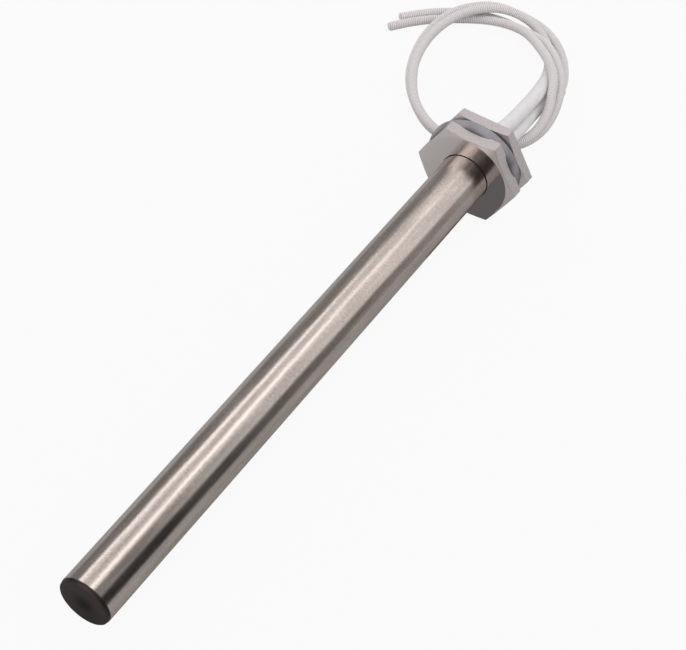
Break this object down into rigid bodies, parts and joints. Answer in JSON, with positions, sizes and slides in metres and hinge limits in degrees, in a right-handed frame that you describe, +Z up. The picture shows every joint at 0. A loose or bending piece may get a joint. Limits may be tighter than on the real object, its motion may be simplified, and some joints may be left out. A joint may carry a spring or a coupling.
{
  "type": "cartridge heater",
  "caption": "Round steel cartridge heater with a hexagon fitting, squeezed gasket and lock nut at its rear end and sleeved white leads that curl in a loop.",
  "frame": {"origin": "on the ground below the middle of the heater, measured without the leads", "axes": "+X along the heater from the tip to the leads, +Z up from the ground it lies on; the sheath leans up by 2.49 degrees because it lies on its tip and on the gasket"},
  "size_m": [0.2877, 0.0856, 0.0328],
  "materials": {
    "sheath_steel": "fine brushed",
    "disc_steel": "dull, heat darkened",
    "fitting_steel": "turned and milled, satin",
    "gasket_rubber": "smooth matt",
    "magnesia": "matt, pressed",
    "packed_magnesia": "matt, packed powder",
    "insulator_ceramic": "matt",
    "resistance_wire": "drawn wire",
    "nickel": "drawn nickel",
    "crimp_brass": "satin",
    "seal_compound": "matt, potted",
    "sleeve_white": "smooth coated glass fibre sleeve",
    "lead_braid": "fine ribbed glass fibre braid"
  },
  "bodies": {
    "root": {"sheath_tube": "sheath_steel", "end_disc": "disc_steel", "tip_spacer": "magnesia", "core_1": "magnesia", "core_2": "magnesia", "core_3": "magnesia", "core_4": "magnesia", "core_5": "magnesia", "core_6": "magnesia", "heating_coil": "resistance_wire", "magnesia_fill": "packed_magnesia", "terminal_pin_1": "nickel", "terminal_pin_2": "nickel", "crimp_1": "crimp_brass", "crimp_2": "crimp_brass", "conductor_1": "nickel", "conductor_2": "nickel", "rear_insulator": "insulator_ceramic", "end_seal": "seal_compound", "hex_fitting": "fitting_steel", "gasket": "gasket_rubber", "lock_nut": "fitting_steel", "sleeve_1": "sleeve_white", "sleeve_2": "sleeve_white", "lead_1": "lead_braid", "lead_2": "lead_braid"}
  },
  "joints": []
}
